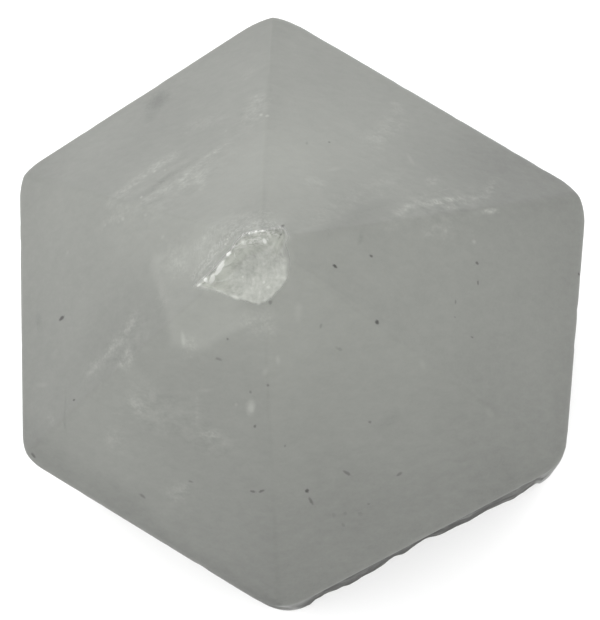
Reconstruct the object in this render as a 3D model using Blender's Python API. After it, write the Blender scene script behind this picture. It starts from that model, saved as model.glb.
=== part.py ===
"""A quartz crystal point: a six-sided prism under a six-faced pyramid, standing on a flat cut foot.

One solid, in metres, +Z up. The origin is on the cut foot, at the middle of the
crystal's bounding box. The long axis of the crystal runs along +Z.
"""
import math

import bmesh
import bpy
import numpy as np

MM = 0.001

# The six corners of the prism, anticlockwise seen from above: x, y, height of the
# shoulder (where the prism wall meets the pyramid) and radius of the worn corner, mm.
CORNERS = {
    "right_front": (21.19, -12.41, 30.5, 3.6),
    "right_back": (23.20, 8.99, 33.2, 4.0),
    "back": (-2.04, 24.56, 34.4, 4.9),
    "left_back": (-23.32, 11.66, 32.0, 3.6),
    "left_front": (-22.82, -11.67, 30.2, 3.2),
    "front": (-1.67, -24.27, 31.8, 4.2),
}

# The point where all six pyramid faces would meet if the tip were whole, mm.
APEX = (-1.02, 0.31, 58.7)

# Each wall starts at the corner of the same number above. The prism widens a little
# towards the foot: how far each wall stands out there, mm.
FLARE = (1.8, 0.8, 0.9, 1.0, 1.1, 0.0)

# Growth ledges: wall number, height of the ledge and how far the wall stands out below it, mm.
LEDGES = (
    (0, 21.0, 0.25),
    (1, 12.5, 0.30),
    (2, 17.0, 0.20),
    (3, 23.5, 0.25),
    (4, 9.0, 0.30),
)
LEDGE_DROP = 0.4

# The wall between the front and the right front corner is broken along its foot. Each
# pair is a place along the wall, from 0 at the front corner to 1, and how far the
# broken rim stands out there (negative: bitten back), mm.
BROKEN_WALL = 5
BROKEN_RIM = (
    (0.00, 0.00), (0.08, 0.05), (0.14, -0.19), (0.22, 0.10), (0.32, 0.06), (0.40, -0.22),
    (0.45, -0.06), (0.51, -0.40), (0.57, -0.08), (0.67, 0.12), (0.74, -0.05), (0.84, 0.20),
    (0.92, -0.15), (1.00, 0.00),
)
BROKEN_STEPS = 36
BROKEN_TOP = 0.45      # share of the wall's height that the breaks reach up to

RIM_BEVEL = 0.35       # worn edge of the cut foot, mm
CORNER_STEPS = 6       # flats round each worn corner

# The tip is snapped off, which leaves a teardrop scar that runs down to the left.
# Its rim in plan, anticlockwise, mm:
SCAR_RIM = (
    (-6.44, -1.44), (-4.51, -2.19), (-2.64, -2.92), (-1.40, -3.25), (-0.37, -2.70),
    (0.44, -1.79), (0.79, -0.69), (0.53, 0.32), (0.64, 0.95), (0.23, 1.70),
    (-1.01, 1.20), (-2.39, 1.11), (-3.55, 0.20), (-5.24, -1.00),
)
SCAR_MIDDLE = (-2.20, -0.75)
SCAR_HEIGHT = 54.20          # height of its floor at the middle, mm
SCAR_SLOPE = (0.62, 0.13)    # rise of its floor per mm to the right and to the back
SCAR_STEP = 0.15             # least depth below the old face, at the rim, mm
SCAR_WALL = 0.7              # width of the steep wall inside the rim, mm
SCAR_CURVE_STEPS = 4         # points on the smooth rim for each point given above
SCAR_RINGS = (1.0, 0.93, 0.84, 0.74, 0.63, 0.5, 0.34, 0.17)   # rings of the scar, as shares of the rim

QUARTZ_COLOUR = (0.56, 0.575, 0.535, 1.0)
QUARTZ_ROUGHNESS = 0.28
QUARTZ_IOR = 1.544


def clear_scene():
    """Remove whatever the scene holds at the start."""
    for leftover in list(bpy.data.objects):
        bpy.data.objects.remove(leftover, do_unlink=True)


def quartz_material():
    """Milky, greyish white quartz with a soft polish."""
    material = bpy.data.materials.new("milky_quartz")
    material.use_nodes = True
    shader = material.node_tree.nodes["Principled BSDF"]
    shader.inputs["Base Color"].default_value = QUARTZ_COLOUR
    shader.inputs["Roughness"].default_value = QUARTZ_ROUGHNESS
    shader.inputs["Metallic"].default_value = 0.0
    shader.inputs["IOR"].default_value = QUARTZ_IOR
    return material


def corner_points():
    """The six prism corners in plan, shoulder heights and worn radii, as arrays in mm."""
    table = np.array(list(CORNERS.values()))
    return table[:, :2], table[:, 2], table[:, 3]


def wall_lines(corners, stand_out):
    """Each wall as its outward direction and distance from the axis, moved out by stand_out."""
    along = np.roll(corners, -1, axis=0) - corners
    outward = np.stack([along[:, 1], -along[:, 0]], axis=1)
    outward /= np.linalg.norm(outward, axis=1)[:, None]
    distance = np.sum(outward * corners, axis=1) + stand_out
    return outward, distance


def moved_corners(corners, stand_out):
    """Where neighbouring walls cross once each has been moved out by its own stand_out."""
    outward, distance = wall_lines(corners, stand_out)
    crossings = []
    for wall in range(len(corners)):
        before = wall - 1
        pair = np.array([outward[before], outward[wall]])
        crossings.append(np.linalg.solve(pair, [distance[before], distance[wall]]))
    return np.array(crossings)


def outline(stand_out, bite):
    """One closed outline of the crystal, as rows of x and y.

    The walls are straight. An arc of CORNER_STEPS flats rounds each corner. The broken
    wall is cut into BROKEN_STEPS short stretches, which stand out by bite times the
    broken rim's own curve.
    """
    plan, _, radii = corner_points()
    corners = moved_corners(plan, stand_out)
    count = len(corners)
    rows = []
    for corner in range(count):
        here = corners[corner]
        to_before = corners[corner - 1] - here
        to_after = corners[(corner + 1) % count] - here
        after_length = np.linalg.norm(to_after)
        to_before /= np.linalg.norm(to_before)
        to_after /= after_length
        half_angle = 0.5 * math.acos(np.dot(to_before, to_after))
        reach = radii[corner] / math.tan(half_angle)
        middle = to_before + to_after
        centre = here + middle / np.linalg.norm(middle) * radii[corner] / math.sin(half_angle)
        start = here + to_before * reach - centre
        sweep = math.pi - 2.0 * half_angle
        for step in range(CORNER_STEPS + 1):
            turn = sweep * step / CORNER_STEPS
            x = start[0] * math.cos(turn) - start[1] * math.sin(turn)
            y = start[0] * math.sin(turn) + start[1] * math.cos(turn)
            rows.append((centre[0] + x, centre[1] + y))
        if corner == BROKEN_WALL:
            rows.extend(broken_stretch(here, to_after, after_length, reach, radii, bite))
    return np.array(rows)


def broken_stretch(corner, along, length, reach, radii, bite):
    """The points along the broken wall, between its two worn corners, as rows of x and y."""
    places, depths = np.array(BROKEN_RIM).T
    outward = np.array([along[1], -along[0]])
    far_reach = reach * radii[0] / radii[BROKEN_WALL]
    rows = []
    for step in range(1, BROKEN_STEPS):
        share = step / BROKEN_STEPS
        travelled = reach + (length - reach - far_reach) * share
        out = bite * np.interp(travelled / length, places, depths)
        rows.append(tuple(corner + along * travelled + outward * out))
    return rows


def stand_out_at(height):
    """How far each wall stands out at a height: the even flare and the ledges below it."""
    _, shoulder, _ = corner_points()
    depth_share = 1.0 - height / shoulder.min()
    stand_out = np.array(FLARE) * max(depth_share, 0.0)
    for wall, ledge_height, step in LEDGES:
        if height < ledge_height - 0.5 * LEDGE_DROP:
            stand_out[wall] += step
    return stand_out


def bite_at(height):
    """Depth of the breaks: full up to BROKEN_TOP, and fading to nothing at the shoulder."""
    _, shoulder, _ = corner_points()
    return min(1.0, (1.0 - height / shoulder.min()) / (1.0 - BROKEN_TOP))


def prism_rings():
    """The outlines of the prism from the foot up to the shoulder, mm."""
    _, shoulder, _ = corner_points()
    levels = [RIM_BEVEL, BROKEN_TOP * shoulder.min()]
    for _, ledge_height, _ in LEDGES:
        levels += [ledge_height - LEDGE_DROP, ledge_height]
    foot = outline(stand_out_at(0.0) - RIM_BEVEL, 1.0)
    rings = [np.column_stack([foot, np.zeros(len(foot))])]
    for height in sorted(levels):
        ring = outline(stand_out_at(height), bite_at(height))
        rings.append(np.column_stack([ring, np.full(len(ring), height)]))
    top = outline(np.zeros(len(CORNERS)), 0.0)
    shoulder_heights = [pyramid_height(x, y) for x, y in top]
    rings.append(np.column_stack([top, shoulder_heights]))
    return rings


def crystal_mesh():
    """Foot, walls and pyramid as one closed mesh, in metres."""
    rings = prism_rings()
    count = len(rings[0])
    points = np.vstack(rings + [np.array([APEX])])
    apex = len(points) - 1
    faces = [tuple(range(count - 1, -1, -1))]
    for level in range(len(rings) - 1):
        low = level * count
        high = low + count
        for place in range(count):
            after = (place + 1) % count
            faces.append((low + place, low + after, high + after, high + place))
    top = (len(rings) - 1) * count
    for place in range(count):
        faces.append((top + place, top + (place + 1) % count, apex))
    middle = 0.5 * (points.min(axis=0) + points.max(axis=0))
    shift = np.array([middle[0], middle[1], 0.0])
    mesh = bpy.data.meshes.new("crystal")
    mesh.from_pydata(((points - shift) * MM).tolist(), [], faces)
    mesh.update()
    return mesh, shift


def tidy_normals(mesh):
    """Split the walls' bent four-sided faces into triangles and turn every face outward."""
    work = bmesh.new()
    work.from_mesh(mesh)
    bmesh.ops.triangulate(work, faces=work.faces[:])
    bmesh.ops.recalc_face_normals(work, faces=work.faces[:])
    work.to_mesh(mesh)
    work.free()


def pyramid_height(x, y):
    """Height of the whole, unbroken pyramid above a point in plan: its lowest face there."""
    plan, shoulder, _ = corner_points()
    base = np.column_stack([plan, shoulder])
    apex = np.array(APEX)
    heights = []
    for corner in range(len(base)):
        to_here = base[corner] - apex
        to_next = base[(corner + 1) % len(base)] - apex
        normal = np.cross(to_here, to_next)
        heights.append(apex[2] - (normal[0] * (x - apex[0]) + normal[1] * (y - apex[1])) / normal[2])
    return min(heights)


def scar_floor(x, y, rim, rim_heights):
    """Height of the scar: a tilted floor, with a wall that climbs to the rim round it.

    The height aimed at by the wall is the rim's own, averaged so that the nearest rim
    points count most. The wall fades out within SCAR_WALL of the rim. The whole scar
    stays at least SCAR_STEP below the old faces.
    """
    away = np.hypot(rim[:, 0] - x, rim[:, 1] - y)
    nearness = 1.0 / (away ** 3 + 0.001)
    brim = np.sum(nearness * rim_heights) / np.sum(nearness)
    rise = SCAR_SLOPE[0] * (x - SCAR_MIDDLE[0]) + SCAR_SLOPE[1] * (y - SCAR_MIDDLE[1])
    floor = SCAR_HEIGHT + rise
    wall = math.exp(-(away.min() / SCAR_WALL) ** 2)
    return min(pyramid_height(x, y) - SCAR_STEP, floor + (brim - floor) * wall)


def smooth_rim():
    """A closed Catmull-Rom curve through the points of SCAR_RIM."""
    rim = np.array(SCAR_RIM)
    before, after, beyond = np.roll(rim, 1, axis=0), np.roll(rim, -1, axis=0), np.roll(rim, -2, axis=0)
    curve = []
    for here in range(len(rim)):
        a, b, c, d = before[here], rim[here], after[here], beyond[here]
        for step in range(SCAR_CURVE_STEPS):
            t = step / SCAR_CURVE_STEPS
            curve.append(0.5 * (2.0 * b + (c - a) * t + (2.0 * a - 5.0 * b + 4.0 * c - d) * t ** 2
                                + (3.0 * b - a - 3.0 * c + d) * t ** 3))
    return np.array(curve)


def tip_cutter(shift):
    """A plug in the shape of the scar, from its floor to above the apex."""
    rim = smooth_rim()
    middle = np.array(SCAR_MIDDLE)
    count = len(rim)
    rim_heights = np.array([pyramid_height(x, y) for x, y in rim])
    rows = [(x, y, APEX[2] + 1.0) for x, y in rim]
    for share in SCAR_RINGS:
        for x, y in middle + (rim - middle) * share:
            rows.append((x, y, scar_floor(x, y, rim, rim_heights)))
    rows.append((middle[0], middle[1], scar_floor(middle[0], middle[1], rim, rim_heights)))
    faces = [tuple(range(count))]
    for ring in range(len(SCAR_RINGS)):
        for place in range(count):
            after = (place + 1) % count
            upper = ring * count
            lower = upper + count
            faces.append((upper + place, lower + place, lower + after, upper + after))
    last = len(SCAR_RINGS) * count
    for place in range(count):
        faces.append((last + (place + 1) % count, last + place, len(rows) - 1))
    mesh = bpy.data.meshes.new("tip_cutter")
    mesh.from_pydata(((np.array(rows) - shift) * MM).tolist(), [], faces)
    tidy_normals(mesh)
    cutter = bpy.data.objects.new("tip_cutter", mesh)
    cutter.hide_render = True
    cutter.display_type = "WIRE"
    return cutter


def build_crystal():
    """The whole crystal: one solid with a snapped tip."""
    mesh, shift = crystal_mesh()
    tidy_normals(mesh)
    mesh.materials.append(quartz_material())
    crystal = bpy.data.objects.new("crystal", mesh)
    bpy.context.collection.objects.link(crystal)
    cutter = tip_cutter(shift)
    bpy.context.collection.objects.link(cutter)
    snapped = crystal.modifiers.new("snapped_tip", "BOOLEAN")
    snapped.operation = "DIFFERENCE"
    snapped.solver = "EXACT"
    snapped.object = cutter
    return crystal


clear_scene()
build_crystal()
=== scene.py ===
"""A quartz crystal point in grey-white milky quartz, standing on its sawn foot on a pale floor.

Lengths are millimetres in the functions below and become metres when a mesh is made.
Plan positions are x to the right and y to the back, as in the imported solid.
"""
import math

import bpy
import numpy as np
from mathutils import Matrix, Vector


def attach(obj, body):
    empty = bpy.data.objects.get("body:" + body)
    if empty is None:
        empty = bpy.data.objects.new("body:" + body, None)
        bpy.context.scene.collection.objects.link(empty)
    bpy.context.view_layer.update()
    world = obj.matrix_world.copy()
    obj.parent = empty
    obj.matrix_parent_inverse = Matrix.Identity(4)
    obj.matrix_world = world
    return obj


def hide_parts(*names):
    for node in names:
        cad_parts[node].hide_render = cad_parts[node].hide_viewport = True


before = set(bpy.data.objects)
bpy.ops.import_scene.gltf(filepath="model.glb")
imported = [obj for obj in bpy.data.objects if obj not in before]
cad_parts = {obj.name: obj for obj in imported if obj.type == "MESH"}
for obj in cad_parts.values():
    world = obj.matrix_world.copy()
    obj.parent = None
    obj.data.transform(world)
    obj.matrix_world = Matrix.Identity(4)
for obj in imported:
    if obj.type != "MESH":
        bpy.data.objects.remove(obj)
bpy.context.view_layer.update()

MM = 0.001

# ---------------------------------------------------------------- the crystal's own sizes, mm

# The six corners of the prism, anticlockwise seen from above: x, y, height of the
# shoulder (where the prism wall meets the pyramid) and radius of the worn corner.
CORNERS = {
    "right_front": (21.19, -12.41, 30.5, 3.6),
    "right_back": (23.20, 8.99, 33.2, 4.0),
    "back": (-2.04, 24.56, 34.4, 4.9),
    "left_back": (-23.32, 11.66, 32.0, 3.6),
    "left_front": (-22.82, -11.67, 30.2, 3.2),
    "front": (-1.67, -24.27, 31.8, 4.2),
}
APEX = (-1.02, 0.31, 58.7)    # where the six pyramid faces would meet if the tip were whole
MIDDLE = (0.242, 0.290)       # middle of the solid's box, in the plan measures above

# Each wall starts at the corner of the same number. How far it stands out at the foot:
FLARE = (1.8, 0.8, 0.9, 1.0, 1.1, 0.0)
# Growth ledges: wall number, height of the ledge and how far the wall stands out below it.
LEDGES = (
    (0, 21.0, 0.25),
    (1, 12.5, 0.30),
    (2, 17.0, 0.20),
    (3, 23.5, 0.25),
    (4, 9.0, 0.30),
)
LEDGE_DROP = 0.4

# The wall between the front and the right front corner is broken along its foot: place
# along the wall, from 0 at the front corner to 1, and how far the rim stands out there.
BROKEN_WALL = 5
BROKEN_RIM = (
    (0.00, 0.00), (0.08, 0.05), (0.14, -0.19), (0.22, 0.10), (0.32, 0.06), (0.40, -0.22),
    (0.45, -0.06), (0.51, -0.40), (0.57, -0.08), (0.67, 0.12), (0.74, -0.05), (0.84, 0.20),
    (0.92, -0.15), (1.00, 0.00),
)
BROKEN_TOP = 0.45             # share of the wall's height that the breaks reach up to

RIM_BEVEL = 0.35              # worn edge of the cut foot
SHOULDER_WEAR = 0.14          # width of the worn edge between wall and pyramid
WORN_INSET = 0.35             # the middle of that edge: how far in it lies, as a share of the width,
WORN_DROP = 0.30              # and how far down
RIDGE_WEAR = 0.09             # softness of the pyramid's ridges
SKIN_DEPTH = 0.03             # the finished surface lies this far inside the solid's walls
WALL_WIDTH = 25.0             # of a usual wall, corner to corner
BROKEN_WIDTH = 25.7           # of the broken wall

# The edge between walls and pyramid is nicked where a wavy line along it rises past a level.
NICK_DEPTH = 0.08             # for each unit above that level
NICK_LEVEL = 0.33
NICK_SPACING = 1.1            # between two turns of the wavy line

# Level growth lines on the walls: share, spacing in height and first seed of each wavy line.
GROWTH_WAVES = ((0.45, 1.1, 10), (0.35, 2.3, 20), (0.20, 5.0, 30))
GROWTH_DEPTH = 0.05

# Wavy fields in the tables below: height of the waves, spacing of their turns, and seed.
HACKLE_WAVES = ((0.13, 2.6, 91), (0.08, 1.2, 92))      # coarse relief of the broken wall
HACKLE_STRETCH = 0.7          # heights are shrunk by this, so the waves stand tall
FINE_HACKLE_STRETCH = 0.5
FINE_HACKLES = ((0.065, 0.62, 93),)
FINE_HACKLE_DEPTH = 0.035     # how far the fine relief is sunk
HACKLE_START = (0.05, 0.13)   # shares of the wall between which the relief sets in
HACKLE_END = (0.87, 0.95)     # and between which it fades out
FACE_WAVES = ((0.020, 6.5, 51), (0.010, 2.7, 52), (0.004, 1.1, 53))
FACE_DEPTH = 0.036            # how far the faces' swells are sunk
FACE_FADE = 0.05              # share of the way to the apex in which they set in
HUMMOCKS = ((0.050, 0.85, 71), (0.030, 0.38, 72), (0.012, 0.17, 73))    # relief of the scar
HUMMOCK_LEAST = 0.5           # share of their height on the calm side of the scar
HUMMOCK_EXTRA = 0.8           # and how much is added on the chipped side
TERRACE_WANDER = ((0.18, 0.6, 74),)
RIPPLE_WANDER = ((1.6, 0.8, 61),)       # in radians
RIPPLE_PATCHES = (0.55, 64)   # spacing and seed

# The snapped tip leaves a teardrop scar that runs down to the left. Its rim in plan:
SCAR_RIM = (
    (-6.44, -1.44), (-4.51, -2.19), (-2.64, -2.92), (-1.40, -3.25), (-0.37, -2.70),
    (0.44, -1.79), (0.79, -0.69), (0.53, 0.32), (0.64, 0.95), (0.23, 1.70),
    (-1.01, 1.20), (-2.39, 1.11), (-3.55, 0.20), (-5.24, -1.00),
)
SCAR_MIDDLE = (-2.20, -0.75)
SCAR_HEIGHT = 54.20           # height of its floor at the middle
SCAR_SLOPE = (0.62, 0.13)     # rise of its floor per mm to the right and to the back
SCAR_STEP = 0.10              # least depth below the old face, at the rim
SCAR_WALL = 0.7               # width of the steep wall inside the rim
SCAR_LIP = 0.13               # width of the sharp lip at the rim
CHIPPED_LIP = 0.82            # share of SCAR_STEP that is missing on the chipped side
RIM_RAGGED = 0.05             # how far the rim wanders from its smooth curve
RIM_RAGGED_SPACING = 0.32
RIM_RAGGED_SEEDS = (62, 63)
RAGGED_FROM = (-4.2, -3.2)    # it sets in between these two x
SCAR_RELIEF_MOST = 0.8        # share of the step at the rim that relief may fill
RIPPLE_LENGTH = 0.40          # from one shock ripple to the next
RIPPLE_DEPTH = 0.055
RIPPLE_REACH = 0.9            # distance in which the ripples fade
RIPPLE_ONSET = 0.12           # distance in which they set in
RIPPLES_FROM = (-6.3, -5.2)   # they set in between these two x, right of the scar's tail
TERRACES = ((0.22, 0.30), (0.52, 0.62), (0.95, 1.10))  # mm from the rim at which each drops
TERRACE_DROP = 0.10

# The blow fell on the side of the scar that lies this way from its middle, and on its back corner.
BLOW_SIDE = (-0.55, 0.83)
BLOW_FROM = (0.1, 1.6)        # the chipping sets in between these distances from the middle
BACK_CORNER = (0.25, 1.10)
BACK_CORNER_SHARE = 0.6
BACK_CORNER_SPREAD = 0.55     # square mm

# ---------------------------------------------------------------- fineness of the grid

ARC_STEPS = 12                # steps round each worn corner
SIDE_STEPS = (48, 48, 48, 48, 48, 112)
WALL_STEP = 0.45              # height between two rings of the walls
TOP_LEVEL = 23.5              # above this level the rings tilt to meet the shoulder
TOP_RINGS = 18
FACE_RINGS = 74               # rings on the pyramid, outside the band round the scar
BAND_RINGS = 26               # rings in the band round the scar
BAND_WIDTH = 1.9
SCAR_FLOOR_RINGS = 46
SCAR_CROWDING = 1.15          # above 1 these rings lie closer together near the rim
RIM_POINTS = 14               # points on the smooth rim for each point of SCAR_RIM
LEAST_RING_GAP = 0.12         # level rings closer than this are left out
SHARP_ANGLE = 38.0            # edges that turn by more degrees than this stay crisp
LINE_VALUES = 512             # random values in a wavy line before it repeats
LATTICE = 64                  # random values along each side of a wavy field before it repeats


def outward_normals(corners):
    """Outward direction of each wall in plan: the wall's own direction turned a quarter right."""
    along = np.roll(corners, -1, axis=0) - corners
    outward = np.stack([along[:, 1], -along[:, 0]], axis=1)
    return outward / np.linalg.norm(outward, axis=1)[:, None]


# Numbers of the crystal's finishes; its own faces have number 0.
BREAK_FINISH = 1
FOOT_FINISH = 2

PLAN = np.array(list(CORNERS.values()))[:, :2]
SHOULDERS = np.array(list(CORNERS.values()))[:, 2]
RADII = np.array(list(CORNERS.values()))[:, 3]
OUTWARD = outward_normals(PLAN)
WALLS = len(PLAN)
TIP = np.array(APEX)


def value_noise(seed, size):
    """A table of even random numbers from -1 to 1, the same on every run."""
    return np.random.default_rng(seed).uniform(-1.0, 1.0, size)


def wavy_line(at, spacing, seed):
    """Smooth random line: cosine steps between random values a spacing apart, from -1 to 1."""
    table = value_noise(seed, LINE_VALUES)
    place = np.asarray(at) / spacing
    low = np.floor(place).astype(int)
    share = 0.5 - 0.5 * np.cos(np.pi * (place - low))
    return table[low % LINE_VALUES] * (1.0 - share) + table[(low + 1) % LINE_VALUES] * share


def wavy_field(x, y, spacing, seed):
    """Smooth random relief in plan: cosine steps between random values on a square lattice."""
    table = value_noise(seed, (LATTICE, LATTICE))
    across = x / spacing
    back = y / spacing
    column = np.floor(across).astype(int)
    row = np.floor(back).astype(int)
    u = 0.5 - 0.5 * np.cos(np.pi * (across - column))
    v = 0.5 - 0.5 * np.cos(np.pi * (back - row))
    left = column % LATTICE
    right = (column + 1) % LATTICE
    front = row % LATTICE
    behind = (row + 1) % LATTICE
    near = table[front, left] * (1.0 - u) + table[front, right] * u
    far = table[behind, left] * (1.0 - u) + table[behind, right] * u
    return near * (1.0 - v) + far * v


def summed_waves(x, y, waves):
    """The sum of several wavy fields, each given as the height of its waves, spacing and seed."""
    return sum(height * wavy_field(x, y, spacing, seed) for height, spacing, seed in waves)


def smooth_step(value, low, high):
    """0 below low, 1 above high and a smooth cubic rise between them."""
    share = np.clip((np.asarray(value) - low) / (high - low), 0.0, 1.0)
    return share * share * (3.0 - 2.0 * share)


def moved_corners(stand_out):
    """Where neighbouring walls cross once each has moved out by its own stand_out: a row per ring."""
    distance = np.sum(OUTWARD * PLAN, axis=1) + stand_out
    pair = np.stack([np.roll(OUTWARD, 1, axis=0), OUTWARD], axis=1)
    both = np.stack([np.roll(distance, 1, axis=1), distance], axis=2)
    return np.linalg.solve(pair[None], both[..., None])[..., 0]


def outlines(stand_out, bite):
    """Every ring's outline as arrays of plan points, outward directions and places.

    Each corner is an arc that touches both its walls: its centre lies inside the corner
    by the radius along both normals, and its angle turns from the wall before to the
    wall after. Straight runs join the arcs. On the broken wall the run moves outwards by
    bite times the broken rim's curve. The place counts from corner to corner as 0, 1, 2 ...
    """
    rings = len(stand_out)
    corners = moved_corners(stand_out)
    before = np.roll(OUTWARD, 1, axis=0)
    lean = 1.0 + np.sum(before * OUTWARD, axis=1)
    centres = corners - RADII[:, None] * (before + OUTWARD) / lean[:, None]
    first_angle = np.arctan2(before[:, 1], before[:, 0])
    sweep = np.arccos(np.sum(before * OUTWARD, axis=1))
    reach = RADII * np.tan(0.5 * sweep)
    lengths = np.linalg.norm(np.roll(corners, -1, axis=1) - corners, axis=2)
    broken_places, broken_depths = np.array(BROKEN_RIM).T
    turns = np.linspace(0.0, 1.0, ARC_STEPS + 1)
    points = []
    directions = []
    places = []
    for corner in range(WALLS):
        angle = first_angle[corner] + sweep[corner] * turns
        ray = np.stack([np.cos(angle), np.sin(angle)], axis=1)
        points.append(centres[:, corner, None, :] + RADII[corner] * ray[None])
        directions.append(np.broadcast_to(ray[None], (rings, ARC_STEPS + 1, 2)))
        lead = reach[corner] * (2.0 * turns - 1.0)
        length = np.where(lead < 0.0, lengths[:, corner - 1, None], lengths[:, corner, None])
        places.append(corner + lead[None] / length)
        after = (corner + 1) % WALLS
        shares = np.linspace(0.0, 1.0, SIDE_STEPS[corner] + 1)[1:-1]
        start = centres[:, corner] + RADII[corner] * OUTWARD[corner]
        end = centres[:, after] + RADII[after] * OUTWARD[corner]
        run = start[:, None, :] + (end - start)[:, None, :] * shares[None, :, None]
        span = lengths[:, corner] - reach[corner] - reach[after]
        travelled = (reach[corner] + span[:, None] * shares[None]) / lengths[:, corner, None]
        if corner == BROKEN_WALL:
            out = bite[:, None] * np.interp(travelled, broken_places, broken_depths)
            run = run + out[..., None] * OUTWARD[corner]
        points.append(run)
        directions.append(np.broadcast_to(OUTWARD[corner], run.shape))
        places.append(corner + travelled)
    return tuple(np.concatenate(parts, axis=1) for parts in (points, directions, places))


def stand_out_at(heights):
    """How far each wall stands out at each height: the even flare and the ledges below it."""
    depth_share = np.maximum(1.0 - heights / SHOULDERS.min(), 0.0)
    stand_out = depth_share[:, None] * np.array(FLARE)[None]
    for wall, ledge_height, step in LEDGES:
        below = 1.0 - smooth_step(heights, ledge_height - LEDGE_DROP, ledge_height)
        stand_out[:, wall] += step * below
    return stand_out - SKIN_DEPTH


def bite_at(heights):
    """Depth of the breaks: full up to BROKEN_TOP, and fading to nothing at the shoulder."""
    return np.clip((1.0 - heights / SHOULDERS.min()) / (1.0 - BROKEN_TOP), 0.0, 1.0)


def growth_lines(heights, places):
    """Depth of the fine level growth lines on the walls, always inwards.

    The wavy lines of GROWTH_WAVES are summed, and their depth swells and fades along
    the wall. Each wall has its own set, by its number added to the seeds.
    """
    wall = np.floor(places).astype(int) % WALLS
    depth = np.zeros(heights.shape)
    for number in range(WALLS):
        lines = sum(share * wavy_line(heights, spacing, seed + number)
                    for share, spacing, seed in GROWTH_WAVES)
        swell = 0.6 + 0.4 * wavy_field(places * 7.0, heights, 4.0, 40 + number)
        depth = np.where(wall == number, (lines - 1.0) * swell, depth)
    return GROWTH_DEPTH * depth


def shoulder_ring():
    """The edge between walls and pyramid: plan points, outward directions, places and chip depths.

    Wherever a wavy line along the edge rises past NICK_LEVEL, the edge lies further in
    by NICK_DEPTH times the rest.
    """
    top, outward, places = outlines(np.full((1, WALLS), -SKIN_DEPTH), np.zeros(1))
    wavy = wavy_line(places[0] * WALL_WIDTH, NICK_SPACING, 81)
    chip = NICK_DEPTH * np.maximum(wavy - NICK_LEVEL, 0.0)
    return top[0], outward[0], places[0], chip


def hackles(heights, places):
    """Rough relief of the broken wall, nearly all inwards.

    Wavy fields in place and height are summed: coarse ones, which are held down to 15
    per cent at the foot and reach their full depth 6 mm above it, and a fine one. They
    cover the broken wall only, and fade out before its two corners.
    """
    travel = places - BROKEN_WALL
    along = travel * BROKEN_WIDTH
    relief = sum(depth * (wavy_field(along, HACKLE_STRETCH * heights, spacing, seed) - 1.0)
                 for depth, spacing, seed in HACKLE_WAVES)
    relief = relief * (0.15 + 0.85 * smooth_step(heights, 0.0, 6.0))
    relief = relief + summed_waves(along, FINE_HACKLE_STRETCH * heights, FINE_HACKLES)
    relief = relief - FINE_HACKLE_DEPTH
    return relief * smooth_step(travel, *HACKLE_START) * (1.0 - smooth_step(travel, *HACKLE_END))


def wall_grid():
    """Rings of the prism from the cut foot to just under the shoulder, as x, y, z in mm.

    Below TOP_LEVEL the rings are level, every WALL_STEP and at each ledge. Above it the
    rings go straight from the last level ring to the nicked edge under the shoulder.
    The growth lines fade out in the last 1.5 mm above the foot and 1.2 mm below the
    shoulder, and the broken wall's relief in the last 3 mm below the shoulder.
    """
    levels = np.arange(RIM_BEVEL, TOP_LEVEL, WALL_STEP)
    ledge_levels = [[height - LEDGE_DROP, height] for _, height, _ in LEDGES]
    levels = np.unique(np.round(np.append(levels, ledge_levels), 3))
    levels = levels[np.append(True, np.diff(levels) > LEAST_RING_GAP)]
    level_points, level_out, places = outlines(stand_out_at(levels), bite_at(levels))
    heights = np.broadcast_to(levels[:, None], places.shape)
    top_points, top_out, top_places, chip = shoulder_ring()
    nick = top_out * chip[:, None]
    nicked = top_points - nick
    worn_top = pyramid_height(nicked[:, 0], nicked[:, 1]) - SHOULDER_WEAR
    share = np.linspace(0.0, 1.0, TOP_RINGS + 1)[1:, None]
    upper_points = level_points[-1:] + (top_points - level_points[-1:]) * share[..., None]
    upper_points = upper_points - nick[None] * smooth_step(share, 0.85, 1.0)[..., None]
    upper_heights = heights[-1:] + (worn_top - heights[-1:]) * share
    points = np.concatenate([level_points, upper_points])
    heights = np.concatenate([heights, upper_heights])
    outward = np.concatenate([level_out, np.repeat(top_out[None], TOP_RINGS, axis=0)])
    depth = growth_lines(heights, np.broadcast_to(top_places, heights.shape))
    fade = smooth_step(heights, RIM_BEVEL, 1.5) * (1.0 - smooth_step(heights - worn_top, -1.2, 0.0))
    rough = hackles(heights, np.broadcast_to(top_places, heights.shape))
    rough = rough * (1.0 - smooth_step(heights - worn_top, -3.0, 0.0))
    points = points + outward * (depth * fade + rough)[..., None]
    foot, _, _ = outlines(stand_out_at(np.zeros(1)) - RIM_BEVEL, np.ones(1))
    foot = np.concatenate([foot, np.zeros(foot.shape[:2] + (1,))], axis=2)
    return np.concatenate([foot, np.concatenate([points, heights[..., None]], axis=2)])


def pyramid_height(x, y):
    """Height of the unbroken pyramid above points in plan: the lowest face there, its ridges worn.

    The faces run into each other by a soft minimum: the lowest height, less RIDGE_WEAR
    times the logarithm of a sum that counts every face nearly as low.
    """
    base = np.column_stack([PLAN, SHOULDERS])
    here = base - TIP
    normal = np.cross(here, np.roll(here, -1, axis=0))
    drop = normal[:, 0, None] * (x.ravel() - TIP[0]) + normal[:, 1, None] * (y.ravel() - TIP[1])
    faces = TIP[2] - drop / normal[:, 2, None]
    lowest = faces.min(axis=0)
    nearly_as_low = np.exp((lowest - faces) / RIDGE_WEAR).sum(axis=0)
    return (lowest - RIDGE_WEAR * np.log(nearly_as_low)).reshape(x.shape)


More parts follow.
